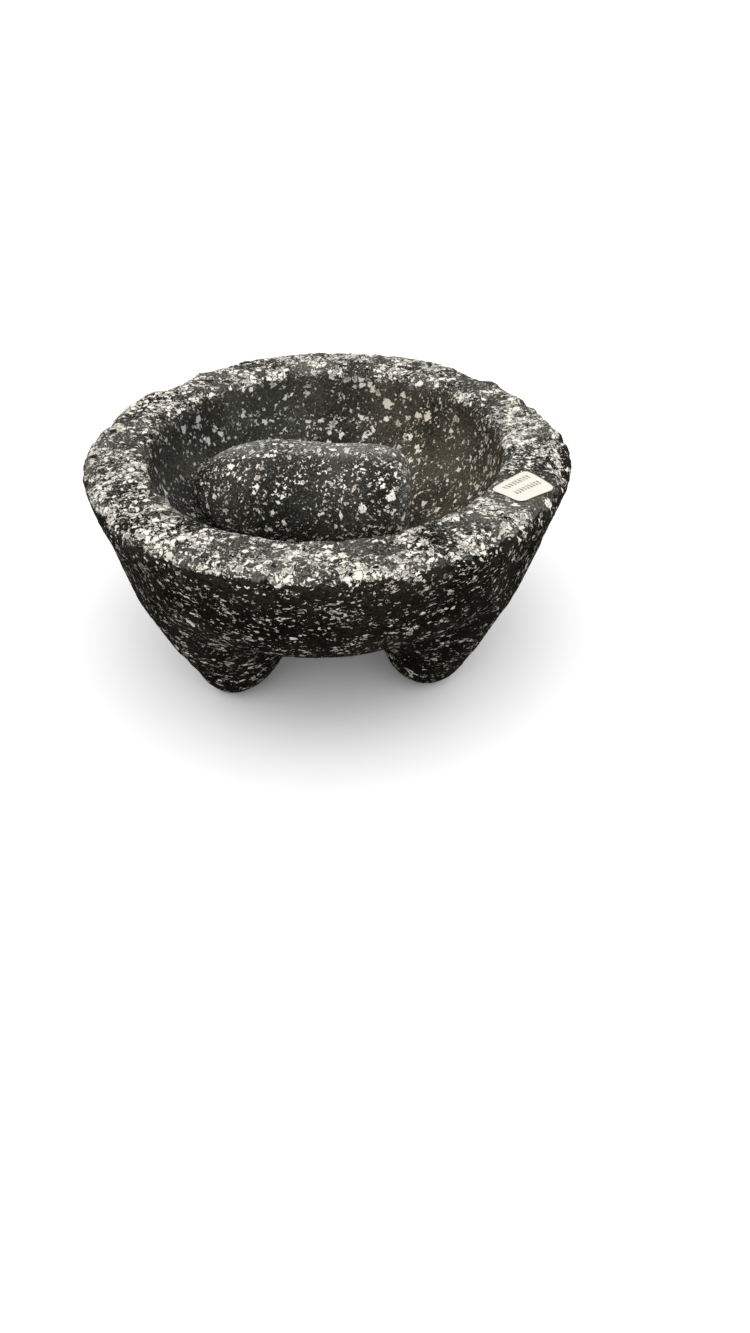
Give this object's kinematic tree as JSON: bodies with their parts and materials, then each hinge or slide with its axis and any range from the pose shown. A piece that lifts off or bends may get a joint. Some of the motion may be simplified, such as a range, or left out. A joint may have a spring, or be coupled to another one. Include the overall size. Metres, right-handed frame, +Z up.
{
  "type": "molcajete mortar and pestle",
  "caption": "Three-legged basalt grinding bowl with a wide rim, a stone pestle lying in its hollow, and a small paper label on the rim.",
  "frame": {"origin": "on the ground plane, under the centre of the bowl", "axes": "+Z up, -Y towards the side between the two front legs, +X to the right seen from there; the third leg is at +Y"},
  "size_m": [0.202, 0.202, 0.1082],
  "materials": {
    "basalt_mortar": "carved grey-black basalt with cream crystals, matt",
    "basalt_pestle": "carved grey-black basalt with cream crystals, matt, dusty on top",
    "label_paper": "uncoated cream paper"
  },
  "bodies": {
    "mortar": {"mortar": "basalt_mortar", "paper_label": "label_paper"},
    "pestle": {"pestle": "basalt_pestle"}
  },
  "joints": [
    {"name": "pestle_lift", "type": "slide", "parent": "mortar", "child": "pestle", "axis": [0, 0, 1], "range_m": [0, 0.16]}
  ]
}
